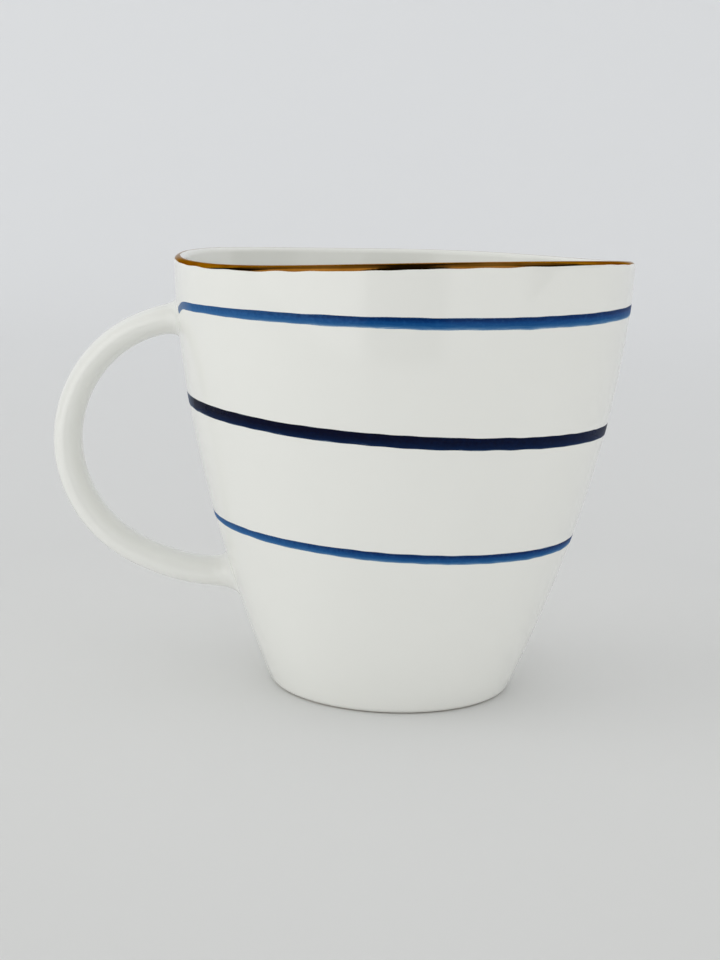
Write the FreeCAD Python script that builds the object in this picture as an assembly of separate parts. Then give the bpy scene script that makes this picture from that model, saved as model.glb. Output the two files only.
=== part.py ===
import FreeCAD, Part
import math
import os

# A hand-finished porcelain mug. Millimetres, +Z up.
# The origin lies on the table plane at the cup's own axis, and the handle points to -X.

# Cup wall. The outside follows one curve, from the table up to the lip:
# radius = foot + (rim - foot) * (1 - (1 - height / rim_height) ** wall_turn)
rim_radius = 47.5
rim_height = 90.8
foot_radius = 25.4
wall_turn = 1.74          # 1 would be a straight cone; more turns the wall upright sooner
wall = 2.9
lip_thickness = 2.4

# Inside floor and foot
floor_height = 5.0
floor_corner = 8.0        # radius between the floor and the inside wall
foot_rounding = 2.0
foot_width = 3.6
foot_recess = 1.5

# The lip was trimmed by hand, so its height wanders: (cosine, sine) parts of 1, 2, ... waves a turn
lip_wave = ((0.81, -0.63), (-0.18, -0.66), (-0.23, 0.07), (0.07, -0.11))

# Brushed bands and the gold on the lip: thin coats that follow the wall under them
coat = 0.18
upper_stripe_drop = 9.7   # from the lip down to the band's middle
upper_stripe_width = 2.1
upper_stripe_wave = ((0.96, -0.15), (0.18, 0.25))
upper_stripe_end = 12.0   # where the brush stopped, to each side of the handle
middle_stripe_drop = 31.9
middle_stripe_width = 2.5
middle_stripe_wave = ((-1.92, -0.11), (0.25, -0.27))
lower_stripe_drop = 55.5
lower_stripe_width = 1.8
lower_stripe_wave = ((-1.44, -0.20), (0.10, 0.0))
gold_depth = 1.25         # how far the lustre runs down the outside
gold_wave = ((-0.12, -0.10), (-0.08, 0.05), (0.04, 0.07))

# Handle: a pulled strap of oval section, bent to a round loop with a short straight lower leg
handle_thickness = 5.9
handle_width = 10.4
upper_root_drop = 14.0    # from the lip down to the strap's middle
lower_root_height = 22.5  # from the table
finger_gap = 25.0         # between the wall and the loop, at the loop's widest
leg_drop = 1.6            # the leg lands this much below the loop's circle
leg_angle = 68.0          # degrees below level at which the loop runs out into the leg
root_sink = 1.6           # how far the strap is pushed into the scored wall before trimming
root_swell = 0.12         # share by which the strap thickens at its roots
root_swell_length = 10.0

# Slip that was pressed round each root
slip_length = 2.4
slip_rise = 1.3
slip_edge = 0.12          # thickness where it feathers out on the strap

turns = 16                # meridians that carry each ring of the wall
wall_bands = 12           # bands that the wall is built up in, lower ones narrower
band_spread = 0.52        # power that spaces the bands' heights; 1 would be equal heights
handle_bands = 20
root_crowding = 0.3      # share by which the strap's bands shorten towards its roots


def wave(parts, angle):
    """Height that a hand-drawn line adds at one angle round the cup."""
    return sum(c * math.cos(k * angle) + s * math.sin(k * angle) for k, (c, s) in enumerate(parts, 1))


def wall_radius(height):
    share = min(max(height / rim_height, 0.0), 1.0)
    return foot_radius + (rim_radius - foot_radius) * (1 - (1 - share) ** wall_turn)


def wall_lean(height):
    """Angle of the outside wall from upright, in radians."""
    step = 0.5
    return math.atan2(wall_radius(height + step) - wall_radius(height - step), 2 * step)


def polar(radius, angle, height):
    return FreeCAD.Vector(radius * math.cos(angle), radius * math.sin(angle), height)


def ring(spot):
    """A smooth closed edge; spot gives its (radius, height) at each meridian's angle."""
    points = []
    for k in range(turns):
        angle = 2 * math.pi * k / turns
        radius, height = spot(angle)
        points.append(polar(radius, angle, height))
    curve = Part.BSplineCurve()
    curve.interpolate(Points=points, Parameters=list(range(turns + 1)), PeriodicFlag=True)
    return curve.toShape()


def wall_ring(radius, height):
    """A ring of the cup, lifted by the lip's wave, which dies out towards the floor."""
    share = max(height - floor_height, 0.0) / (rim_height - floor_height)
    return ring(lambda angle: (radius, height + wave(lip_wave, angle) * share ** 3))


def banded(rings, closed):
    """Faces ruled from each ring to the next, as a turned wall is built up band by band."""
    following = rings[1:] + rings[:1] if closed else rings[1:]
    return [Part.makeRuledSurface(first, second) for first, second in zip(rings, following)]


def solid_of(faces):
    shell = Part.Shell(faces)
    shell.sewShape()
    return Part.Solid(shell)


def stacked(rings):
    """The solid inside a stack of rings, closed flat at both ends."""
    caps = [Part.Face(Part.Wire(rings[0])), Part.Face(Part.Wire(rings[-1]))]
    return solid_of(banded(rings, False) + caps)


def contact_radius():
    """Where the rounded foot touches the table."""
    return foot_radius - foot_rounding / math.tan((math.pi / 2 + wall_lean(foot_rounding)) / 2)


def arc_points(centre, radius, first, last, count):
    """Points on an arc between two angles in radians, in the (radius, height) plane."""
    steps = [first + (last - first) * k / (count - 1) for k in range(count)]
    return [(centre[0] + radius * math.cos(a), centre[1] + radius * math.sin(a)) for a in steps]


def band_heights(lowest):
    """Heights above lowest where one band of the wall meets the next; the top band is halved."""
    steps = [rim_height * (1 - (1 - k / wall_bands) ** band_spread) for k in range(1, wall_bands)]
    return [height for height in steps if height > lowest] + [(steps[-1] + rim_height) / 2]


def outer_rings(added=0.0):
    """Foot, outside wall and lip, with a coat added to the wall and the lip."""
    centre = (contact_radius(), foot_rounding)
    foot = arc_points(centre, foot_rounding, -math.pi / 2, -wall_lean(foot_rounding), 3)
    rising = [(wall_radius(h) + added, h) for h in band_heights(foot_rounding)]
    half = lip_thickness / 2
    centre = (rim_radius - half, rim_height - half)
    lip = arc_points(centre, half + added, math.radians(20), math.radians(150), 3)
    return [wall_ring(radius, height) for radius, height in foot + rising + lip]


def inner_rings():
    """Inside wall and the corner that rounds it into the floor."""
    lean = wall_lean(floor_height)
    corner = wall_radius(floor_height) - wall
    centre = (corner - floor_corner / math.tan((math.pi / 2 + lean) / 2), floor_height + floor_corner)
    floor = arc_points(centre, floor_corner, -lean, -math.pi / 2, 5)
    falling = [(wall_radius(h) - wall, h) for h in reversed(band_heights(floor[0][1]))]
    return [wall_ring(radius, height) for radius, height in falling + floor]


def filled_cup():
    """The cup without its hollow, which the handle and the slip are trimmed against."""
    return stacked(outer_rings() + [ring(lambda angle: (foot_radius, rim_height))])


def slab(low, high):
    """A ring with four ruled sides. low and high give (inner radius, outer radius, height) at an angle."""
    corners = [
        ring(lambda angle: (low(angle)[0], low(angle)[2])),
        ring(lambda angle: (low(angle)[1], low(angle)[2])),
        ring(lambda angle: (high(angle)[1], high(angle)[2])),
        ring(lambda angle: (high(angle)[0], high(angle)[2])),
    ]
    return solid_of(banded(corners, True))


def stripe_height(drop, parts, angle):
    return rim_height - drop + wave(parts, angle)


def stripe_slab(drop, width, parts):
    def edge(offset):
        def spot(angle):
            h = stripe_height(drop, parts, angle) + offset
            return wall_radius(h) - wall / 2, wall_radius(h) + wall / 2, h
        return spot
    return slab(edge(-width / 2), edge(width / 2))


def gold_slab():
    crest = rim_radius - lip_thickness / 2 + coat

    def low(angle):
        h = rim_height + wave(lip_wave, angle) - gold_depth + wave(gold_wave, angle)
        return crest, rim_radius + wall, h

    def high(angle):
        return crest, rim_radius + wall, rim_height + wave(lip_wave, angle) + wall
    return slab(low, high)


def open_at_handle(tool):
    """Stop a band short of the handle, with the round ends that a loaded brush leaves."""
    span = 4 * rim_radius
    gap = Part.makeBox(span, 2 * upper_stripe_end, span, FreeCAD.Vector(-span, -upper_stripe_end, 0))
    tool = tool.cut(gap)
    for side in (-1, 1):
        height = rim_height - upper_stripe_drop
        angle = math.pi - side * math.asin(upper_stripe_end / wall_radius(height))
        height = stripe_height(upper_stripe_drop, upper_stripe_wave, angle)
        start = polar(wall_radius(height) - wall / 2, angle, height)
        tool = tool.fuse(Part.makeCylinder(upper_stripe_width / 2, wall, start, polar(1, angle, 0)))
    return tool


def handle_spine():
    """Middle line of the strap, in the plane y = 0: (distance from the axis, height) as a curve."""
    upper_root = rim_height - upper_root_drop
    loop_radius = (upper_root - lower_root_height - leg_drop) / 2
    centre_h = upper_root - loop_radius
    centre_d = wall_radius(centre_h) + finger_gap + handle_thickness / 2 - loop_radius
    first = math.acos((wall_radius(upper_root) - root_sink - centre_d) / loop_radius)
    last = -math.radians(leg_angle)
    arc = arc_points((centre_d, centre_h), loop_radius, first, last, 10)
    end_d = wall_radius(lower_root_height) - root_sink
    pull = (arc[-1][0] - end_d) * 0.45
    leg = [
        arc[-1],
        (arc[-1][0] + pull * math.sin(last), arc[-1][1] - pull * math.cos(last)),
        (end_d + pull, lower_root_height),
        (end_d, lower_root_height),
    ]
    curve = Part.BezierCurve()
    curve.setPoles([FreeCAD.Vector(-d, 0, h) for d, h in leg])
    points = [FreeCAD.Vector(-d, 0, h) for d, h in arc]
    points += [curve.value(t) for t in (0.25, 0.5, 0.75, 1.0)]
    spine = Part.BSplineCurve()
    spine.interpolate(points)
    return spine


def strap_half(spine, at):
    """Half width and half thickness of the strap at a distance along its spine."""
    from_root = max(min(at, spine.length() - at) - root_sink, 0.0)
    swell = 1 + root_swell * max(1 - from_root / root_swell_length, 0.0) ** 2
    return handle_width / 2 * swell, handle_thickness / 2 * swell


def oval(centre, up, half_width, half_height):
    """A section whose long axis lies across the strap."""
    across = FreeCAD.Vector(0, half_width, 0)
    return Part.Wire(Part.Ellipse(centre + across, centre + up * half_height, centre).toShape())


def square_to(along):
    return along.cross(FreeCAD.Vector(0, 1, 0)).normalize()


def handle_blank(spine):
    sections = []
    for k in range(handle_bands + 1):
        turn = 2 * math.pi * k / handle_bands
        at = spine.length() * (turn - root_crowding * math.sin(turn)) / (2 * math.pi)
        t = spine.parameterAtDistance(at, spine.FirstParameter)
        up = square_to(FreeCAD.Vector(*spine.tangent(t)[0]))
        sections.append(oval(spine.value(t), up, *strap_half(spine, at)))
    return Part.makeLoft(sections, True, True)


def slip_blank(spine, far_end):
    """A collar that sweeps up from the strap to the wall in a hollow quarter round.

    Its sections turn from square to the strap, where it feathers out, to parallel with the wall.
    """
    sections = []
    for share in (1.0, 0.55, 0.2, 0.0, -0.5):
        at = root_sink + slip_length * share
        if far_end:
            at = spine.length() - at
        t = spine.parameterAtDistance(at, spine.FirstParameter)
        centre = spine.value(t)
        square = square_to(FreeCAD.Vector(*spine.tangent(t)[0]))
        lean = wall_lean(centre.z)
        along_wall = FreeCAD.Vector(-math.sin(lean), 0, math.cos(lean))
        if along_wall.dot(square) < 0:
            along_wall = along_wall * -1
        held = max(share, 0.0)
        up = (square * held + along_wall * (1 - held)).normalize()
        half_width, half_thickness = strap_half(spine, at)
        grow = slip_edge + slip_rise * (1 - math.sqrt(1 - (1 - held) ** 2))
        sections.append(oval(centre, up, half_width + grow, half_thickness / up.dot(square) + grow))
    return Part.makeLoft(sections, True, True)


def build():
    cup = stacked(outer_rings() + inner_rings())
    coated = stacked(outer_rings(coat) + inner_rings())
    edge = contact_radius() - foot_width
    pieces = {"cup_body": cup.cut(Part.makeCone(edge, edge - foot_recess, foot_recess))}

    coats = {
        "upper_stripe": open_at_handle(stripe_slab(upper_stripe_drop, upper_stripe_width, upper_stripe_wave)),
        "middle_stripe": stripe_slab(middle_stripe_drop, middle_stripe_width, middle_stripe_wave),
        "lower_stripe": stripe_slab(lower_stripe_drop, lower_stripe_width, lower_stripe_wave),
        "gold_rim": gold_slab(),
    }
    for name, tool in coats.items():
        pieces[name] = tool.common(coated).cut(cup)

    filled = filled_cup()
    spine = handle_spine()
    strap = handle_blank(spine)
    pieces["handle"] = strap.cut(filled)
    for name, far_end in (("upper_slip_joint", False), ("lower_slip_joint", True)):
        pieces[name] = slip_blank(spine, far_end).cut(strap).cut(filled)
    return pieces


os.makedirs("parts", exist_ok=True)
for name, shape in build().items():
    solids = shape.Solids
    print(name, "solids", len(solids), "valid", shape.isValid(), "volume", round(shape.Volume, 1))
    if len(solids) == 1:
        shape = solids[0]
    shape.exportStep(os.path.join("parts", name + ".step"))
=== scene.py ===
import bpy
import math
import numpy as np
from mathutils import Matrix, Vector


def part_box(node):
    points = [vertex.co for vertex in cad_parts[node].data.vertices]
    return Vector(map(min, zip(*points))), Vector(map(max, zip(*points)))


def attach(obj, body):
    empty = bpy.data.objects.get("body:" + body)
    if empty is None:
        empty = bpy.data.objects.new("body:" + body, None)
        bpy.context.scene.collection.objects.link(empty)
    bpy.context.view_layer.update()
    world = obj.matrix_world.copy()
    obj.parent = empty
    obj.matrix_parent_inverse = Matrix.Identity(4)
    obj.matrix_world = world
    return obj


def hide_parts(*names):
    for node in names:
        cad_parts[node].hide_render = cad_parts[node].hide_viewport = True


# A hand-finished porcelain mug: white glaze, three brushed cobalt bands and a fired gold lip.
# Shapes are worked out in millimetres about the cup's own axis and handed to Blender in metres.

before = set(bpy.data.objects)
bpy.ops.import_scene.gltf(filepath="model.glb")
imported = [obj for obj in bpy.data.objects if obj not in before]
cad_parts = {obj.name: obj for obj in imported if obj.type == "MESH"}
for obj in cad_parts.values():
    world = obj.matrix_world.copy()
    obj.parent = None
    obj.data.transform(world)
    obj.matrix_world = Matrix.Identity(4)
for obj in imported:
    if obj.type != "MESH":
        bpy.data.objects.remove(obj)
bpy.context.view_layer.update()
millimetre = 0.001
creaseAngle = 38      # degrees; edges that turn more than this stay sharp


# mesh helpers

def linkMesh(name, points, faces):
    # points is an (n, 3) array in metres, faces a list of index tuples
    mesh = bpy.data.meshes.new(name)
    mesh.from_pydata(points.tolist(), [], faces)
    mesh.validate()
    mesh.polygons.foreach_set("use_smooth", np.ones(len(mesh.polygons), bool))
    holder = bpy.data.objects.new(name, mesh)
    bpy.context.scene.collection.objects.link(holder)
    return holder


def addPiece(name, points, faces, replaced):
    # a piece of the mug, from points in millimetres, in place of one solid
    piece = linkMesh(name, points * millimetre, faces)
    piece.data.set_sharp_from_angle(angle=math.radians(creaseAngle))
    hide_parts(replaced)
    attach(piece, "root")
    print("made", name, len(piece.data.polygons), "faces")
    return piece


def gridFaces(rows, columns, closeRows, closeColumns):
    # quads of a grid whose point (i, j) has index i * columns + j
    # a closed side runs back to its start
    i = np.arange(rows if closeRows else rows - 1)[:, None]
    j = np.arange(columns if closeColumns else columns - 1)[None, :]
    nextI, nextJ = (i + 1) % rows, (j + 1) % columns
    quads = np.stack(np.broadcast_arrays(
        i * columns + j, i * columns + nextJ,
        nextI * columns + nextJ, nextI * columns + j), axis=-1)
    return [tuple(q) for q in quads.reshape(-1, 4).tolist()]


def endFaces(rows, columns):
    # one face over the first row of a tube and one over its last
    return [tuple(range(columns))[::-1], tuple(range((rows - 1) * columns, rows * columns))]


def turnedOver(faces):
    # the same faces, looking the other way
    return [f[::-1] for f in faces]


def setUv(piece, uvByPoint):
    # one UV pair per point, copied to every corner that uses the point
    mesh = piece.data
    corners = np.empty(len(mesh.loops), np.int32)
    mesh.loops.foreach_get("vertex_index", corners)
    layer = mesh.uv_layers.new(name="UVMap")
    layer.data.foreach_set("uv", uvByPoint[corners].astype(np.float32).ravel())


def smooth(x):
    # smooth step from 0 to 1
    t = np.clip(x, 0, 1)
    return t * t * (3 - 2 * t)


def wave(parts, angle):
    # sum of cosine and sine waves, 1, 2, ... to the turn
    return sum(c * np.cos(k * angle) + s * np.sin(k * angle) for k, (c, s) in enumerate(parts, 1))


def handWobble(angle, seed, waves, size):
    # an unsteady hand: sine waves of many lengths round the turn, weaker as they get shorter
    rng = np.random.default_rng(seed)
    counts = np.arange(*waves)
    weights = rng.normal(size=len(counts)) / np.sqrt(counts / waves[0])
    phases = rng.uniform(0, 2 * np.pi, len(counts))
    total = (weights * np.sin(np.multiply.outer(angle, counts) + phases)).sum(-1)
    return size * total / np.sqrt((weights ** 2).sum() / 2)


def arc(centre, radius, first, last, count):
    # points of a circle between two angles in degrees
    a = np.radians(np.linspace(first, last, count))
    return np.stack([centre[0] + radius * np.cos(a), centre[1] + radius * np.sin(a)], axis=-1)


# cup: wall, lip, inside and foot

goldLow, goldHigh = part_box("gold_rim")
coatOfSolid = 0.07        # how far the solid's gold stands out of the wall
cup = dict(
    rimRadius=(goldHigh[1] - goldLow[1]) / 2 / millimetre - coatOfSolid,
    rimHeight=90.8,
    footRadius=25.4,
    wallTurn=1.74,        # radius = foot + (rim - foot) * (1 - (1 - height share) ** wallTurn)
    wall=2.9,
    lipRadius=1.2,
    lipTaper=(1.0, 5.0),  # the wall thins towards the lip from this far below it, over this height
    floorHeight=5.0,
    floorCorner=8.0,
    footRounding=2.0,
    footWidth=3.6,
    footRecess=1.5,
    recessRun=2.2,        # the hollow underside ends this far inside the ring
    recessRounding=1.0,
    ringRounding=0.5,
    bareBelow=0.3,        # the ring is wiped free of glaze up to here
    lipWave=((0.81, -0.63), (-0.18, -0.66), (-0.23, 0.07), (0.07, -0.11)),
    unevenness=0.10,      # how far the hand-smoothed wall wanders
    # slow hollows: waves a turn, height in mm for each radian, shift, share
    hollows=((3, 19, 0.0, 1.0), (5, -13, 1.7, 0.7), (2, 9, 0.6, 0.5)),
    hollowFoot=(6, 22),   # they grow from this height on, over this length
    hollowLip=(3, 14),    # and fade out this far below the lip, over this length
    outsideSpan=(3.4, 0.6),    # rows of the outside: first height, and gap below the lip's arc
    insideSpan=(0.8, 12.5),    # rows of the inside: gap below the lip's arc, and last height
    floorGap=1.5,              # the floor's rows begin this far inside its corner
    innermost=1.0,             # radius of the smallest ring, which a fan of faces closes
    around=360,
)
cupRows = dict(
    under=8, recess=6, ring=5, foot=12, outside=100, lip=25, inside=74, corner=16, floor=10)


def wallRadius(height):
    # the flare of the wall, by the formula beside wallTurn
    share = np.clip(height / cup["rimHeight"], 0, 1)
    flare = 1 - (1 - share) ** cup["wallTurn"]
    return cup["footRadius"] + (cup["rimRadius"] - cup["footRadius"]) * flare


def wallLean(height):
    # angle by which the wall leans outwards, over 1 mm of its height
    return math.atan2(float(wallRadius(height + 0.5) - wallRadius(height - 0.5)), 1.0)


def lift(height):
    # share of the lip's wave that reaches this height
    rise = cup["rimHeight"] - cup["floorHeight"]
    return (np.maximum(height - cup["floorHeight"], 0) / rise) ** 3


def dent(angle, height):
    # hollows left by smoothing the wet clay: crossed waves round and up the wall, none at the foot
    pattern = sum(share * np.sin(waves * angle + height / pitch + shift)
                  for waves, pitch, shift, share in cup["hollows"])
    deepest = sum(share for waves, pitch, shift, share in cup["hollows"])
    foot, footFade = cup["hollowFoot"]
    lip, lipFade = cup["hollowLip"]
    fade = smooth((height - foot) / footFade) * smooth((cup["rimHeight"] - lip - height) / lipFade)
    return -cup["unevenness"] * (0.5 + 0.5 * pattern / deepest) * fade


def wallPoint(angle, height, out=0.0):
    # point of the outside wall at a true height
    # the wave is undone, in two rounds, to find the wall's own radius there
    own = height - wave(cup["lipWave"], angle) * lift(height)
    own = height - wave(cup["lipWave"], angle) * lift(own)
    radius = wallRadius(own) + dent(angle, own) + out
    return np.stack([radius * np.cos(angle), radius * np.sin(angle), height + 0 * angle], axis=-1)


def cupProfile():
    # (radius, height) from the middle of the hollow underside, round the foot,
    # up the outside, over the lip and down the inside to the middle of the floor
    c, rows = cup, cupRows
    lean = math.degrees(wallLean(c["footRounding"]))
    contact = c["footRadius"] - c["footRounding"] / math.tan(math.radians(90 + lean) / 2)
    inner = contact - c["footWidth"]
    edge = inner - c["recessRun"]
    ringSide = c["ringRounding"]
    under = [(r, c["footRecess"]) for r in np.linspace(c["innermost"], edge, rows["under"])]
    recessMiddle = (edge, c["footRecess"] - c["recessRounding"])
    recess = arc(recessMiddle, c["recessRounding"], 90, 35, rows["recess"])
    ring = arc((inner + ringSide, ringSide), ringSide, 200, 270, rows["ring"])
    foot = arc((contact, c["footRounding"]), c["footRounding"], -90, -lean, rows["foot"])
    lipBase = c["rimHeight"] - c["lipRadius"]
    rise = np.linspace(c["outsideSpan"][0], lipBase - c["outsideSpan"][1], rows["outside"])
    outside = np.stack([wallRadius(rise), rise], axis=-1)
    lip = arc((c["rimRadius"] - c["lipRadius"], lipBase), c["lipRadius"], 0, 180, rows["lip"])
    fall = np.linspace(lipBase - c["insideSpan"][0], c["insideSpan"][1], rows["inside"])
    thinning = np.exp(-(c["rimHeight"] - fall - c["lipTaper"][0]) / c["lipTaper"][1])
    thick = c["wall"] + (2 * c["lipRadius"] - c["wall"]) * thinning
    inside = np.stack([wallRadius(fall) - thick, fall], axis=-1)
    leanIn = math.degrees(wallLean(c["floorHeight"]))
    back = c["floorCorner"] / math.tan(math.radians(90 + leanIn) / 2)
    cornerMiddle = (float(wallRadius(c["floorHeight"])) - c["wall"] - back,
                    c["floorHeight"] + c["floorCorner"])
    corner = arc(cornerMiddle, c["floorCorner"], -leanIn, -90, rows["corner"])
    across = np.linspace(cornerMiddle[0] - c["floorGap"], c["innermost"], rows["floor"])
    floor = [(r, c["floorHeight"]) for r in across]
    return np.concatenate([under, recess, ring, foot, outside, lip, inside, corner, floor])


def makeCup():
    # every profile point goes round the axis, and the lip's wave lifts it by its share
    # a point on the axis closes the underside, and another closes the floor
    profile = cupProfile()
    rows, columns = len(profile), cup["around"]
    angle = np.linspace(0, 2 * np.pi, columns, endpoint=False)
    r, h = profile[:, 0][:, None], profile[:, 1][:, None]
    radius = r + dent(angle[None, :], h)
    z = h + wave(cup["lipWave"], angle)[None, :] * lift(h)
    points = np.stack([radius * np.cos(angle), radius * np.sin(angle), z + 0 * radius], axis=-1)
    middles = np.array([[0, 0, cup["footRecess"]], [0, 0, cup["floorHeight"]]])
    points = np.concatenate([points.reshape(-1, 3), middles])
    below, above, last = rows * columns, rows * columns + 1, (rows - 1) * columns
    faces = gridFaces(rows, columns, False, True)
    faces += [(below, (j + 1) % columns, j) for j in range(columns)]
    faces += [(above, last + j, last + (j + 1) % columns) for j in range(columns)]
    piece = addPiece("cup_wall", points, turnedOver(faces), "cup_body")
    # rows of faces that touch the table carry the second material, for the wiped foot ring
    rowHeight = (profile[1:, 1] + profile[:-1, 1]) / 2
    bare = np.repeat(rowHeight < cup["bareBelow"], columns)
    marks = np.zeros(len(piece.data.polygons), np.int32)
    marks[:len(bare)] = bare
    piece.data.polygons.foreach_set("material_index", marks)
    return piece


# ribbons: brushed colour and gold lie on the wall as thin closed ribbons

def ribbonSection(across):
    # closed section: out over the top from side -1 to side 1, and back beneath
    top = np.linspace(-1, 1, across)
    back = np.linspace(1, -1, across)[1:-1]
    side = np.concatenate([top, back])
    isTop = np.concatenate([np.ones(across, bool), np.zeros(across - 2, bool)])
    return side, isTop


def ribbonOut(side, isTop, build):
    # proud along the middle, turned down to just under the wall at both edges, and sunk beneath
    return np.where(isTop, build["proud"] * (1 - side ** 8) - build["edgeSunk"], -build["sunk"])


bands = dict(
    upper_stripe=dict(
        height=80.98, waveParts=((0.84, -0.13), (0.18, 0.25)),
        width=1.88, widthParts=((0.42, -0.42),),
        gap=(166.0, 195.0),    # bearings of the two ends, beside the handle
        hook=1.3,              # how far the brush turned down at each end
        seed=11),
    middle_stripe=dict(
        height=58.84, waveParts=((-1.92, -0.11), (0.25, -0.27)),
        width=2.60, widthParts=((-0.05, -0.03),),
        gap=None, seed=23),
    lower_stripe=dict(
        height=35.22, waveParts=((-1.44, -0.12), (0.10, 0.0)),
        width=1.50, widthParts=((0.24, -0.52),),
        gap=None, seed=37),
)
bandBuild = dict(
    proud=0.035, edgeSunk=0.01, sunk=0.12,
    wobbleWaves=(7, 60), lowWobble=0.035, highWobble=0.028,
    capLength=1.1,        # length of the rounded end of a stroke
    hookLength=7.5,
    across=14, around=900,
)


def strokeEnd(distance):
    # share of the full width at this distance from the stroke's end: a quarter circle
    share = np.clip(distance / bandBuild["capLength"], 0, 1)
    return np.sqrt(np.clip(1 - (1 - share) ** 2, 0.002, 1))


def strokeHook(distance):
    # share of the hook's drop: a smooth step that fades along the stroke
    return smooth(1 - distance / bandBuild["hookLength"]) ** 1.5


def makeBand(name):
    # a ribbon on the wall: height = middle + side * half width
    b, build = bands[name], bandBuild
    if b["gap"]:
        angle = np.radians(np.linspace(b["gap"][1], b["gap"][0] + 360, build["around"]))
    else:
        angle = np.linspace(0, 2 * np.pi, build["around"], endpoint=False)
    middle = b["height"] + wave(b["waveParts"], angle)
    half = (b["width"] + wave(b["widthParts"], angle)) / 2
    low = half + handWobble(angle, b["seed"], build["wobbleWaves"], build["lowWobble"])
    high = half + handWobble(angle, b["seed"] + 1, build["wobbleWaves"], build["highWobble"])
    if b["gap"]:
        run = (angle - angle[0]) * float(wallRadius(b["height"]))      # distance from the first end
        left = run[-1] - run
        cap = strokeEnd(run) * strokeEnd(left)
        low, high = low * cap, high * cap
        middle = middle - b["hook"] * (strokeHook(run) + strokeHook(left))
    side, isTop = ribbonSection(build["across"])
    s = side[None, :]
    height = middle[:, None] + np.where(s > 0, s * high[:, None], s * low[:, None])
    out = ribbonOut(side, isTop, build)[None, :] + 0 * height
    points = wallPoint(angle[:, None] + 0 * s, height, out)
    rows, columns = points.shape[:2]
    faces = gridFaces(rows, columns, not b["gap"], True)
    if b["gap"]:
        faces += endFaces(rows, columns)
    piece = addPiece(name + "_brushed", points.reshape(-1, 3), faces, name)
    along = (angle / (2 * np.pi))[:, None] + 0 * s
    setUv(piece, np.stack([along, (s + 0 * along + 1) / 2], axis=-1).reshape(-1, 2))
    return piece


# gold on the lip

gold = dict(
    depth=0.83, depthParts=((-0.05, -0.06), (-0.24, 0.10)), leastDepth=0.4,
    innerReach=0.10,      # how far it runs past the crest, inwards
    edgeWaves=(8, 50), edgeWobble=0.045, innerWaves=(10, 60), innerWobble=0.03,
    proud=0.03, edgeSunk=0.008, sunk=0.10, across=30, around=900, seed=51,
)


def lipPoint(angle, along, out):
    # along runs from the crest outwards: first round the lip's arc, then down the wall
    r = cup["lipRadius"]
    quarter = r * np.pi / 2
    turn = np.pi / 2 - np.minimum(along, quarter) / r
    down = np.maximum(along - quarter, 0)
    own = cup["rimHeight"] - r + r * np.sin(turn) - down
    radius = cup["rimRadius"] - r + (r + out) * np.cos(turn)
    z = own + out * np.sin(turn) + wave(cup["lipWave"], angle) * lift(own)
    return np.stack([radius * np.cos(angle), radius * np.sin(angle), z], axis=-1)


def makeGold():
    # a ribbon bent over the lip, from just inside the crest to a hand-drawn lower edge
    g = gold
    angle = np.linspace(0, 2 * np.pi, g["around"], endpoint=False)
    deep = (g["depth"] + wave(g["depthParts"], angle)
            + handWobble(angle, g["seed"], g["edgeWaves"], g["edgeWobble"]))
    deep = np.maximum(deep, g["leastDepth"])
    # the depth below the crest as a length round the arc and down the wall
    r = cup["lipRadius"]
    onArc = r * np.arccos(np.clip(1 - deep / r, -1, 1))
    end = np.where(deep < r, onArc, r * np.pi / 2 + deep - r)
    start = -g["innerReach"] + handWobble(angle, g["seed"] + 1, g["innerWaves"], g["innerWobble"])
    side, isTop = ribbonSection(g["across"])
    share = (side[None, :] + 1) / 2
    along = start[:, None] + (end - start)[:, None] * share
    out = ribbonOut(side, isTop, g)[None, :] + 0 * along
    points = lipPoint(angle[:, None], along, out)
    faces = turnedOver(gridFaces(*points.shape[:2], True, True))
    piece = addPiece("gold_lip", points.reshape(-1, 3), faces, "gold_rim")
    turnShare = (angle / (2 * np.pi))[:, None] + 0 * share
    setUv(piece, np.stack([turnShare, share + 0 * turnShare], axis=-1).reshape(-1, 2))
    return piece


# handle and the slip round its roots

handle = dict(
    thickness=5.9, width=10.4,
    upperDrop=14.0,       # from the lip down to the strap's middle
    lowerHeight=22.5,
    fingerGap=24.95,
    legDrop=1.6,          # the leg lands this much below the loop's circle
    legAngle=68.0,        # degrees below level at which the loop runs out into the leg
    legPull=0.45,         # how strongly the leg keeps its direction at both ends
    sink=1.6,
    swell=0.12, swellLength=10.0,
    loopSteps=400, legSteps=120,    # steps of the spine
    along=200, around=72,           # steps of the surface
)


def strapSpine():
    # (distance from the axis, height): an arc from the upper root,
    # then a cubic Bezier leg to the lower root
    h = handle
    upper = cup["rimHeight"] - h["upperDrop"]
    loop = (upper - h["lowerHeight"] - h["legDrop"]) / 2
    centreH = upper - loop
    centreD = float(wallRadius(centreH)) + h["fingerGap"] + h["thickness"] / 2 - loop
    first = math.degrees(math.acos((float(wallRadius(upper)) - h["sink"] - centreD) / loop))
    ring = arc((centreD, centreH), loop, first, -h["legAngle"], h["loopSteps"])
    last = math.radians(-h["legAngle"])
    endD = float(wallRadius(h["lowerHeight"])) - h["sink"]
    pull = (ring[-1][0] - endD) * h["legPull"]
    poles = np.array([
        ring[-1], ring[-1] + pull * np.array([math.sin(last), -math.cos(last)]),
        (endD + pull, h["lowerHeight"]), (endD, h["lowerHeight"])])
    t = np.linspace(0, 1, h["legSteps"])[1:, None]
    leg = ((1 - t) ** 3 * poles[0] + 3 * t * (1 - t) ** 2 * poles[1]
           + 3 * t ** 2 * (1 - t) * poles[2] + t ** 3 * poles[3])
    path = np.concatenate([ring, leg])
    run = np.concatenate([[0], np.cumsum(np.hypot(*np.diff(path, axis=0).T))])
    return path, run


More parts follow.
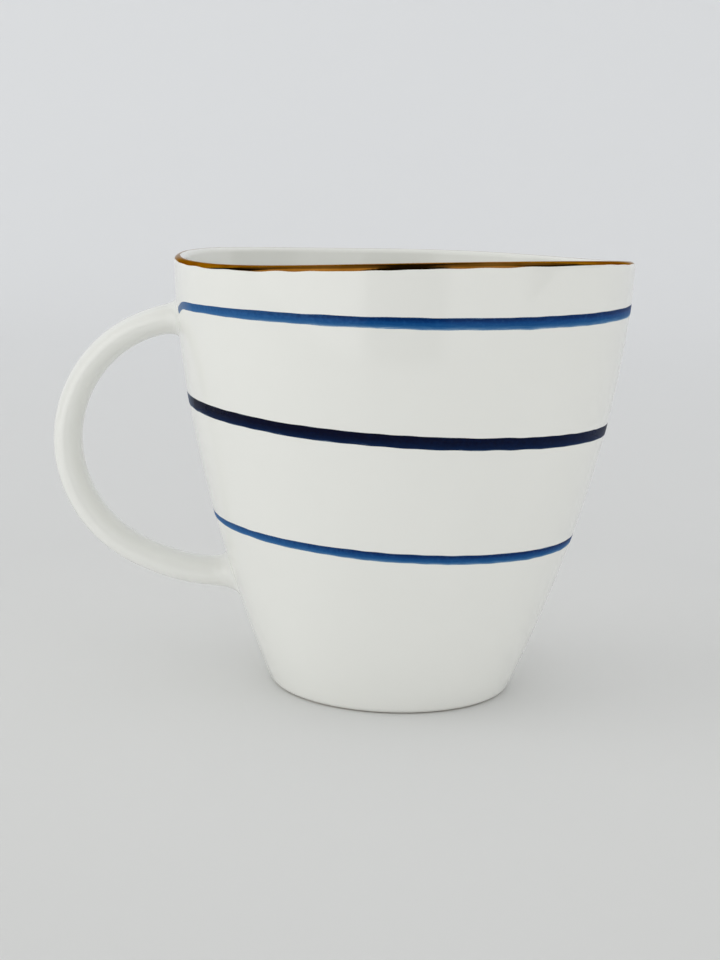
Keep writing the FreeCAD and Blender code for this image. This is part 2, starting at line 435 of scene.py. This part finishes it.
def strapPoint(run, turn):
    # surface of the strap: oval of half width and half thickness, square to the spine,
    # swelling to its roots
    path, length = strapSpine()
    total = length[-1]

    def spineAt(distance):
        return np.stack([np.interp(distance, length, path[:, k]) for k in (0, 1)], axis=-1)

    step = 0.4      # the spine's direction is taken over this length to each side
    middle = spineAt(run)
    chord = spineAt(np.clip(run + step, 0, total)) - spineAt(np.clip(run - step, 0, total))
    tangent = chord / np.linalg.norm(chord, axis=-1, keepdims=True)
    square = np.stack([-tangent[..., 1], tangent[..., 0]], axis=-1)
    fromRoot = np.maximum(np.minimum(run, total - run) - handle["sink"], 0)
    grow = 1 + handle["swell"] * np.maximum(1 - fromRoot / handle["swellLength"], 0) ** 2
    up = handle["thickness"] / 2 * grow * np.sin(turn)
    d = middle[..., 0] + square[..., 0] * up
    z = middle[..., 1] + square[..., 1] * up
    return np.stack([-d, handle["width"] / 2 * grow * np.cos(turn), z], axis=-1)


def makeHandle():
    # the strap's surface on a grid of lengths and turns, closed at both sunk ends
    total = strapSpine()[1][-1]
    run = np.linspace(0, total, handle["along"])[:, None]
    turn = np.linspace(0, 2 * np.pi, handle["around"], endpoint=False)[None, :]
    points = strapPoint(run + 0 * turn, turn + 0 * run)
    rows, columns = points.shape[:2]
    faces = gridFaces(rows, columns, False, True) + endFaces(rows, columns)
    return addPiece("pulled_strap", points.reshape(-1, 3), faces, "handle")


slip = dict(
    upper_slip_joint=dict(piece="upper_slip", atLowerRoot=False, onStrap=3.2, onWall=1.8),
    lower_slip_joint=dict(piece="lower_slip", atLowerRoot=True, onStrap=4.4, onWall=3.0),
)
slipBuild = dict(
    searchLength=12,      # the strap leaves the wall within this length of its end
    searchSteps=600,
    edgeSunk=0.05,        # the fillet's edge lies this much under the wall
    inward=0.35,          # how far its back is pushed past the crease, as a share
    around=96, across=18,
)


def makeSlip(name):
    # a quadratic Bezier fillet with its pole on the crease:
    # it leaves the strap along the strap and lands on the wall along the wall
    s, build = slip[name], slipBuild
    turn = np.linspace(0, 2 * np.pi, build["around"], endpoint=False)
    runs = np.linspace(0, build["searchLength"], build["searchSteps"])
    if s["atLowerRoot"]:
        runs = strapSpine()[1][-1] - runs
    # the crease is where each line of the strap's surface comes out of the wall
    lines = strapPoint(runs[:, None] + 0 * turn, turn[None, :] + 0 * runs[:, None])
    wallThere = wallPoint(np.arctan2(lines[..., 1], lines[..., 0]), lines[..., 2])[..., :2]
    outside = np.hypot(lines[..., 0], lines[..., 1]) - np.linalg.norm(wallThere, axis=-1)
    hit = np.argmax(outside > 0, axis=0)
    crease = lines[hit, np.arange(len(turn))]
    awayFromWall = -1 if s["atLowerRoot"] else 1
    onStrap = strapPoint(runs[hit] + awayFromWall * s["onStrap"], turn)
    # spread from the crease over the wall, away from the strap's middle
    spread = crease - crease.mean(axis=0)
    spread[:, 0] = 0
    spread /= np.linalg.norm(spread, axis=1, keepdims=True)
    spread = crease + spread * s["onWall"]
    onWall = wallPoint(np.arctan2(spread[:, 1], spread[:, 0]), spread[:, 2], -build["edgeSunk"])
    t = np.linspace(0, 1, build["across"])[:, None, None]
    fillet = (1 - t) ** 2 * onStrap + 2 * t * (1 - t) * crease + t ** 2 * onWall
    back = crease - build["inward"] * ((onStrap + onWall) / 2 - crease)
    points = np.concatenate([fillet, back[None]])
    faces = gridFaces(*points.shape[:2], True, True)
    if not s["atLowerRoot"]:
        faces = turnedOver(faces)
    return addPiece(s["piece"], points.reshape(-1, 3), faces, name)


# material helpers

def linear(hexColour):
    # sRGB hex to linear RGBA
    s = np.array([int(hexColour[k:k + 2], 16) for k in (1, 3, 5)]) / 255
    rgb = np.where(s <= 0.04045, s / 12.92, ((s + 0.055) / 1.055) ** 2.4)
    return (*rgb.tolist(), 1.0)


def cellsOf(size):
    # scale of a noise pattern whose cells measure this many millimetres
    return 1 / (size * millimetre)


def newMaterial(name):
    material = bpy.data.materials.new(name)
    material.use_nodes = True
    print("mixed", name)
    return material, material.node_tree, material.node_tree.nodes["Principled BSDF"]


def addNode(tree, kind, settings=None, inputs=None):
    # inputs: socket name or number -> value, or the output socket to link from
    node = tree.nodes.new(kind)
    for key, value in (settings or {}).items():
        setattr(node, key, value)
    for key, value in (inputs or {}).items():
        if isinstance(value, bpy.types.NodeSocket):
            tree.links.new(value, node.inputs[key])
        else:
            node.inputs[key].default_value = value
    return node


def setShader(shader, values):
    for key, value in values.items():
        shader.inputs[key].default_value = value


# materials

def glazedPorcelain():
    # slip-smoothed white porcelain under a clear fired glaze: a soft white body seen through glass
    material, tree, shader = newMaterial("glazed porcelain")
    setShader(shader, {
        "Roughness": 0.38, "IOR": 1.5, "Specular IOR Level": 0.1,
        "Coat Weight": 1.0, "Coat Roughness": 0.035, "Coat IOR": 1.5})
    place = addNode(tree, "ShaderNodeTexCoord").outputs["Object"]
    # glaze pools a little thicker in patches about 26 mm across
    pooled = addNode(tree, "ShaderNodeTexNoise", None, {
        "Vector": place, "Scale": cellsOf(26.3158), "Detail": 3.0})
    tone = addNode(tree, "ShaderNodeMix", {"data_type": "RGBA"}, {
        0: pooled.outputs["Fac"], 6: linear("#e4e5e0"), 7: linear("#e9eae5")})
    tree.links.new(tone.outputs[2], shader.inputs["Base Color"])
    # and it ripples every 11 mm or so, which unsettles the edges of what it mirrors
    ripple = addNode(tree, "ShaderNodeTexNoise", None, {
        "Vector": place, "Scale": cellsOf(11.1111), "Detail": 2.0})
    bump = addNode(tree, "ShaderNodeBump", None, {
        "Strength": 0.06, "Distance": 0.0005, "Height": ripple.outputs["Fac"]})
    tree.links.new(bump.outputs["Normal"], shader.inputs["Coat Normal"])
    return material


# colours run from the lower edge of the band to its upper edge
# dry gives two places along X, in metres: the wash is thinnest at the first and full at the second
washBlue = dict(
    name="cobalt wash underglaze",
    colours=((0.0, "#a3b8c9"), (0.08, "#6084a7"), (0.18, "#3a6894"), (0.34, "#1a4f84"),
             (0.58, "#0e4079"), (0.78, "#082a5b"), (0.92, "#082956"), (1.0, "#52718f")),
    thin="#33659a", dry=(-0.044, -0.004), thinnest=0.66)
deepBlue = dict(
    name="deep cobalt underglaze",
    colours=((0.0, "#6b7d90"), (0.07, "#12294a"), (0.16, "#021839"), (0.34, "#01102f"),
             (0.60, "#000420"), (0.93, "#00021c"), (1.0, "#3a4656")),
    thin="#021c42", dry=(0.05, -0.01), thinnest=0.5)
brush = dict(
    bandAcross=0.024,       # the streak pattern takes a band as this wide, in metres
    streakShift=0.36,       # range of the streaks' shift of the colours, as a share of the width
    grainShare=0.12,        # how much paint the grain adds or takes
    lifted=(-0.0448, -0.0412),      # painted reflection: left of these two X the bands are greyed, standing in for the glaze mirroring the bright room at a glancing angle
    liftedShare=0.7, liftedColour="#70819a",
)


def cobaltUnderglaze(blue):
    # cobalt oxide in water, brushed under the glaze
    # it shows the streaks of the brush, and is pale where the brush ran dry
    material, tree, shader = newMaterial(blue["name"])
    setShader(shader, {
        "Roughness": 0.5, "IOR": 1.5, "Specular IOR Level": 0.0,
        "Coat Weight": 0.18, "Coat Roughness": 0.05})
    coordinates = addNode(tree, "ShaderNodeTexCoord")
    alongAcross = addNode(tree, "ShaderNodeSeparateXYZ", None, {0: coordinates.outputs["UV"]})
    across = alongAcross.outputs["Y"]
    place = addNode(tree, "ShaderNodeSeparateXYZ", None, {0: coordinates.outputs["Object"]})
    # hairs of the brush: the band is stretched to 24 mm across, so that cells of 4 mm come out
    # as streaks 4 mm long and a fifth of the band wide
    lane = addNode(tree, "ShaderNodeMath", {"operation": "MULTIPLY"}, {
        0: across, 1: brush["bandAcross"]})
    stroke = addNode(tree, "ShaderNodeCombineXYZ", None, {
        0: place.outputs["X"], 1: place.outputs["Y"], 2: lane.outputs[0]})
    streaks = addNode(tree, "ShaderNodeTexNoise", None, {
        "Vector": stroke.outputs[0], "Scale": cellsOf(4.16667), "Detail": 4.0, "Roughness": 0.65})
    # ground cobalt is far finer than this grain, which is drawn coarse enough to show
    grain = addNode(tree, "ShaderNodeTexNoise", None, {
        "Vector": coordinates.outputs["Object"], "Scale": cellsOf(0.666667), "Detail": 1.0})
    # the streaks shift the colours across the band, as far one way as the other
    shifted = addNode(tree, "ShaderNodeMath", {"operation": "MULTIPLY_ADD"}, {
        0: streaks.outputs["Fac"], 1: brush["streakShift"], 2: across})
    drawn = addNode(tree, "ShaderNodeMath", {"operation": "SUBTRACT"}, {
        0: shifted.outputs[0], 1: brush["streakShift"] / 2})
    colours = addNode(tree, "ShaderNodeValToRGB", None, {0: drawn.outputs[0]})
    stops = colours.color_ramp.elements
    for stop, (position, colour) in zip(stops, (blue["colours"][0], blue["colours"][-1])):
        stop.position, stop.color = position, linear(colour)
    for position, colour in blue["colours"][1:-1]:
        stops.new(position).color = linear(colour)
    # the wash thins towards one end of the stroke
    dry = addNode(tree, "ShaderNodeMapRange", None, {
        0: place.outputs["X"], 1: blue["dry"][0], 2: blue["dry"][1], 3: blue["thinnest"], 4: 0.0})
    worn = addNode(tree, "ShaderNodeMapRange", None, {
        0: grain.outputs["Fac"], 1: 0.3, 2: 0.7, 3: -brush["grainShare"], 4: brush["grainShare"]})
    amount = addNode(tree, "ShaderNodeMath", {"operation": "ADD", "use_clamp": True}, {
        0: dry.outputs[0], 1: worn.outputs[0]})
    final = addNode(tree, "ShaderNodeMix", {"data_type": "RGBA"}, {
        0: amount.outputs[0], 6: colours.outputs[0], 7: linear(blue["thin"])})
    # painted reflection: towards the handle's side the bands turn greyer, standing in for the glaze
    # mirroring the bright room where it is seen at a glancing angle
    start = addNode(tree, "ShaderNodeMapRange", None, {
        0: place.outputs["X"], 1: brush["lifted"][0], 2: brush["lifted"][1],
        3: brush["liftedShare"], 4: 0.0})
    paintedReflection = addNode(tree, "ShaderNodeMix", {"data_type": "RGBA"}, {
        0: start.outputs[0], 6: final.outputs[2], 7: linear(brush["liftedColour"])})
    tree.links.new(paintedReflection.outputs[2], shader.inputs["Base Color"])
    return material


def bareFoot():
    # biscuit porcelain, wiped free of glaze before firing: dry, fine-grained, a little warmer
    material, tree, shader = newMaterial("unglazed biscuit porcelain")
    setShader(shader, {"Roughness": 0.75, "IOR": 1.5})
    place = addNode(tree, "ShaderNodeTexCoord").outputs["Object"]
    # grit of half a millimetre, coarser than the real grain so that it shows
    grit = addNode(tree, "ShaderNodeTexNoise", None, {
        "Vector": place, "Scale": cellsOf(0.555556), "Detail": 3.0})
    tone = addNode(tree, "ShaderNodeMix", {"data_type": "RGBA"}, {
        0: grit.outputs["Fac"], 6: linear("#cfc9bd"), 7: linear("#ddd8ce")})
    tree.links.new(tone.outputs[2], shader.inputs["Base Color"])
    bump = addNode(tree, "ShaderNodeBump", None, {
        "Strength": 0.4, "Distance": 0.0001, "Height": grit.outputs["Fac"]})
    tree.links.new(bump.outputs["Normal"], shader.inputs["Normal"])
    return material


def firedGoldLustre():
    # liquid bright gold, fired on the glaze: a thin warm mirror, browner where it was brushed thin
    material, tree, shader = newMaterial("fired gold lustre")
    setShader(shader, {"Metallic": 1.0, "Roughness": 0.09, "Specular Tint": linear("#c8a878")})
    place = addNode(tree, "ShaderNodeTexCoord").outputs["Object"]
    # strokes of a small brush, about 6 mm long
    patches = addNode(tree, "ShaderNodeTexNoise", None, {
        "Vector": place, "Scale": cellsOf(6.25), "Detail": 3.0})
    tone = addNode(tree, "ShaderNodeValToRGB", None, {0: patches.outputs["Fac"]})
    brown, yellow = tone.color_ramp.elements
    brown.position, brown.color = 0.35, linear("#93601d")
    yellow.position, yellow.color = 0.65, linear("#b07a35")
    tree.links.new(tone.outputs[0], shader.inputs["Base Color"])
    # and an uneven film, in spots of 2 to 3 mm, which breaks up what it mirrors
    brushed = addNode(tree, "ShaderNodeTexNoise", None, {
        "Vector": place, "Scale": cellsOf(2.38095), "Detail": 3.0})
    bump = addNode(tree, "ShaderNodeBump", None, {
        "Strength": 0.12, "Distance": 0.0002, "Height": brushed.outputs["Fac"]})
    tree.links.new(bump.outputs["Normal"], shader.inputs["Normal"])
    return material


# build the mug

glaze, footRing = glazedPorcelain(), bareFoot()
wash, deep = cobaltUnderglaze(washBlue), cobaltUnderglaze(deepBlue)
lustre = firedGoldLustre()
for piece, finishes in (
        (makeCup(), (glaze, footRing)),
        (makeHandle(), (glaze,)),
        (makeSlip("upper_slip_joint"), (glaze,)),
        (makeSlip("lower_slip_joint"), (glaze,)),
        (makeBand("upper_stripe"), (wash,)),
        (makeBand("middle_stripe"), (deep,)),
        (makeBand("lower_stripe"), (wash,)),
        (makeGold(), (lustre,))):
    for finish in finishes:
        piece.data.materials.append(finish)


# floor, light and camera, in metres

sweep = dict(
    halfWidth=3.0, bendStart=0.7, bend=0.5, top=2.2,
    bendSteps=(6, 90, 15),      # degrees round the bend: first, last, how many
    flatRows=12, riseRows=6, riseGap=0.1,
    nearColour="#d7d8d7", farColour="#e0e2e4",
    fade=(-0.1, 0.9),           # depths between which one turns into the other
    paintedLightColour="#dfe0df",     # painted light: paler round the mug, where its soft shadow lies, which lifts that shadow
    beside=(0.05, 0.15),        # distances from the mug over which that ends
    bounceColour="#f4f4f4",     # what the paper sends back as light, as a white table does
    mirrorEdge=-0.24, edgeSoftness=0.02,    # where the table ends in mirrors
)


def makeSweep():
    # floor that bends up behind the mug in one curve
    s = sweep
    bend = np.radians(np.linspace(*s["bendSteps"]))
    y = np.concatenate([np.linspace(-s["halfWidth"], s["bendStart"], s["flatRows"]),
                        s["bendStart"] + s["bend"] * np.sin(bend),
                        np.full(s["riseRows"], s["bendStart"] + s["bend"])])
    z = np.concatenate([np.zeros(s["flatRows"]), s["bend"] * (1 - np.cos(bend)),
                        np.linspace(s["bend"] + s["riseGap"], s["top"], s["riseRows"])])
    x = np.array([-s["halfWidth"], s["halfWidth"]])
    points = np.stack(np.broadcast_arrays(x[None, :], y[:, None], z[:, None]), axis=-1)
    faces = turnedOver(gridFaces(len(y), 2, False, False))
    paper = linkMesh("paper_sweep", points.reshape(-1, 3), faces)
    paper.data.materials.append(sweepPaper())
    print("laid the paper sweep")


def sweepPaper():
    # seamless background paper: matt, with no sheen to speak of
    s = sweep
    material, tree, shader = newMaterial("matt white paper")
    setShader(shader, {"Roughness": 0.85, "Specular IOR Level": 0.2})
    place = addNode(tree, "ShaderNodeTexCoord").outputs["Object"]
    depth = addNode(tree, "ShaderNodeSeparateXYZ", None, {0: place}).outputs["Y"]
    fade = addNode(tree, "ShaderNodeMapRange", None, {
        0: depth, 1: s["fade"][0], 2: s["fade"][1], 3: 0.0, 4: 1.0})
    tone = addNode(tree, "ShaderNodeMix", {"data_type": "RGBA"}, {
        0: fade.outputs[0], 6: linear(s["nearColour"]), 7: linear(s["farColour"])})
    # painted light: the paper is paler close to the mug, which lifts part of its shadow
    away = addNode(tree, "ShaderNodeVectorMath", {"operation": "LENGTH"}, {0: place})
    paintedLightShare = addNode(tree, "ShaderNodeMapRange", None, {
        0: away.outputs["Value"], 1: s["beside"][0], 2: s["beside"][1], 3: 1.0, 4: 0.0})
    paintedLightTone = addNode(tree, "ShaderNodeMix", {"data_type": "RGBA"}, {
        0: paintedLightShare.outputs[0], 6: tone.outputs[2], 7: linear(s["paintedLightColour"])})
    # seen directly or mirrored it is its pale grey; the light that it sends back is a white table's
    ray = addNode(tree, "ShaderNodeLightPath")
    seen = addNode(tree, "ShaderNodeMath", {"operation": "MAXIMUM"}, {
        0: ray.outputs["Is Camera Ray"], 1: ray.outputs["Is Glossy Ray"]})
    shown = addNode(tree, "ShaderNodeMix", {"data_type": "RGBA"}, {
        0: seen.outputs[0], 6: linear(s["bounceColour"]), 7: paintedLightTone.outputs[2]})
    tree.links.new(shown.outputs[2], shader.inputs["Base Color"])
    # mirrored, the table ends in front of the mug, so that the glaze shows the room beyond it
    ends = addNode(tree, "ShaderNodeMapRange", None, {
        0: depth, 1: s["mirrorEdge"] - s["edgeSoftness"], 2: s["mirrorEdge"] + s["edgeSoftness"],
        3: 1.0, 4: 0.0})
    pastEdge = addNode(tree, "ShaderNodeMath", {"operation": "MULTIPLY"}, {
        0: ends.outputs[0], 1: ray.outputs["Is Glossy Ray"]})
    through = addNode(tree, "ShaderNodeBsdfTransparent")
    surface = addNode(tree, "ShaderNodeMixShader", None, {
        0: pastEdge.outputs[0], 1: shader.outputs[0], 2: through.outputs[0]})
    tree.links.new(surface.outputs[0], tree.nodes["Material Output"].inputs["Surface"])
    return material


softLamp = dict(
    place=(-1.3, -0.3, 0.55), target=(0, 0, 0.05), size=1.2, power=3.4, colour=(1.0, 1.0, 0.98))


def addLamp():
    # a weak square lamp at the left rounds the body
    lamp = bpy.data.lights.new("soft_lamp", "AREA")
    lamp.shape, lamp.size = "SQUARE", softLamp["size"]
    lamp.energy, lamp.color = softLamp["power"], softLamp["colour"]
    holder = bpy.data.objects.new("soft_lamp", lamp)
    holder.location = softLamp["place"]
    aim = Vector(softLamp["target"]) - Vector(softLamp["place"])
    holder.rotation_euler = aim.to_track_quat("-Z", "Y").to_euler()
    holder.visible_glossy = False      # the room's own windows are what shines on the glaze
    bpy.context.scene.collection.objects.link(holder)
    print("hung the lamp")


# the room round the mug: heights are the Z of a direction, bearings are degrees from +X
room = dict(
    levelLight=0.98, overheadLight=0.83,    # strength of the even light at the horizon and above
    backDepth=(0.42, 0.7),                  # mirrored, the room turns bright between these Y
    frontLight=0.01, backLight=0.72,
    ceilingHeight=(0.5, 0.85), ceilingLight=0.38,
    ceilingSide=(0.12, 0.3), ceilingMiddle=0.05,    # straight overhead the ceiling is darker
    windows=((-167, -108, 1.0), (-68, -27, 0.75)),  # first bearing, last bearing, brightness
    windowHeight=(-0.6, 0.72),
    windowSoftness=(0.06, 0.08),            # of the upright edges, and of the sill and top
)


def setWorld():
    # an even white room, softer overhead, lights the mug
    # mirrored, its side in front of the mug is dark with two windows, and its ceiling is dim
    r = room
    world = bpy.data.worlds.new("studio")
    bpy.context.scene.world = world
    world.use_nodes = True
    tree = world.node_tree
    even = tree.nodes["Background"]
    direction = addNode(tree, "ShaderNodeTexCoord").outputs["Generated"]
    split = addNode(tree, "ShaderNodeSeparateXYZ", None, {0: direction})
    toRight, toBack, toTop = split.outputs["X"], split.outputs["Y"], split.outputs["Z"]
    falloff = addNode(tree, "ShaderNodeMapRange", None, {
        0: toTop, 1: 0.0, 2: 1.0, 3: r["levelLight"], 4: r["overheadLight"]})
    tree.links.new(falloff.outputs[0], even.inputs["Strength"])
    even.inputs["Color"].default_value = linear("#ffffff")
    distant = addNode(tree, "ShaderNodeMapRange", None, {
        0: toBack, 1: r["backDepth"][0], 2: r["backDepth"][1],
        3: r["frontLight"], 4: r["backLight"]})
    above = addNode(tree, "ShaderNodeMapRange", None, {
        0: toTop, 1: r["ceilingHeight"][0], 2: r["ceilingHeight"][1], 3: 0.0, 4: r["ceilingLight"]})
    aside = addNode(tree, "ShaderNodeMath", {"operation": "ABSOLUTE"}, {0: toRight})
    beside = addNode(tree, "ShaderNodeMapRange", None, {
        0: aside.outputs[0], 1: r["ceilingSide"][0], 2: r["ceilingSide"][1],
        3: r["ceilingMiddle"], 4: 1.0})
    ceiling = addNode(tree, "ShaderNodeMath", {"operation": "MULTIPLY"}, {
        0: above.outputs[0], 1: beside.outputs[0]})
    mirrored = addNode(tree, "ShaderNodeMath", {"operation": "MAXIMUM"}, {
        0: distant.outputs[0], 1: ceiling.outputs[0]})
    # each window is a soft-edged span of bearing times a soft-edged span of height
    bearing = addNode(tree, "ShaderNodeMath", {"operation": "ARCTAN2"}, {0: toBack, 1: toRight})
    sideSoftness, sillSoftness = r["windowSoftness"]
    for first, last, bright in r["windows"]:
        edges = []
        for value, start, end, soft in (
                (bearing.outputs[0], math.radians(first), math.radians(last), sideSoftness),
                (toTop, *r["windowHeight"], sillSoftness)):
            edges.append(addNode(tree, "ShaderNodeMapRange", None, {
                0: value, 1: start - soft, 2: start + soft}))
            edges.append(addNode(tree, "ShaderNodeMapRange", None, {
                0: value, 1: end - soft, 2: end + soft, 3: bright ** 0.5, 4: 0.0}))
        pane = edges[0]
        for edge in edges[1:]:
            pane = addNode(tree, "ShaderNodeMath", {"operation": "MULTIPLY"}, {
                0: pane.outputs[0], 1: edge.outputs[0]})
        mirrored = addNode(tree, "ShaderNodeMath", {"operation": "MAXIMUM"}, {
            0: mirrored.outputs[0], 1: pane.outputs[0]})
    dim = addNode(tree, "ShaderNodeBackground", None, {
        "Color": linear("#ffffff"), "Strength": mirrored.outputs[0]})
    ray = addNode(tree, "ShaderNodeLightPath")
    pick = addNode(tree, "ShaderNodeMixShader", None, {
        0: ray.outputs["Is Glossy Ray"], 1: even.outputs[0], 2: dim.outputs[0]})
    tree.links.new(pick.outputs[0], tree.nodes["World Output"].inputs["Surface"])
    print("lit the room")


# the camera stands in front of the mug, a little above its lip, and is held slightly askew
view = dict(
    distance=0.3557, height=0.10757, lens=63.75, sensor=36.0,
    down=10.235, turn=-1.242, tilt=1.821)      # degrees


def addCamera():
    down, turn, tilt = (math.radians(view[k]) for k in ("down", "turn", "tilt"))
    ahead = Vector((
        math.sin(turn) * math.cos(down), math.cos(turn) * math.cos(down), -math.sin(down)))
    right = Vector((math.cos(turn), -math.sin(turn), 0))
    up = right.cross(ahead)
    tiltedRight = right * math.cos(tilt) + up * math.sin(tilt)
    tiltedUp = up * math.cos(tilt) - right * math.sin(tilt)
    camera = bpy.data.cameras.new("camera")
    camera.lens, camera.sensor_width, camera.sensor_fit = view["lens"], view["sensor"], "AUTO"
    camera.clip_start, camera.clip_end = 0.01, 20
    holder = bpy.data.objects.new("camera", camera)
    holder.matrix_world = Matrix((
        (tiltedRight.x, tiltedUp.x, -ahead.x, 0),
        (tiltedRight.y, tiltedUp.y, -ahead.y, -view["distance"]),
        (tiltedRight.z, tiltedUp.z, -ahead.z, view["height"]),
        (0, 0, 0, 1)))
    bpy.context.scene.collection.objects.link(holder)
    bpy.context.scene.camera = holder
    print("placed the camera")


makeSweep()
addLamp()
setWorld()
addCamera()
bpy.context.scene.view_settings.view_transform = "Standard"
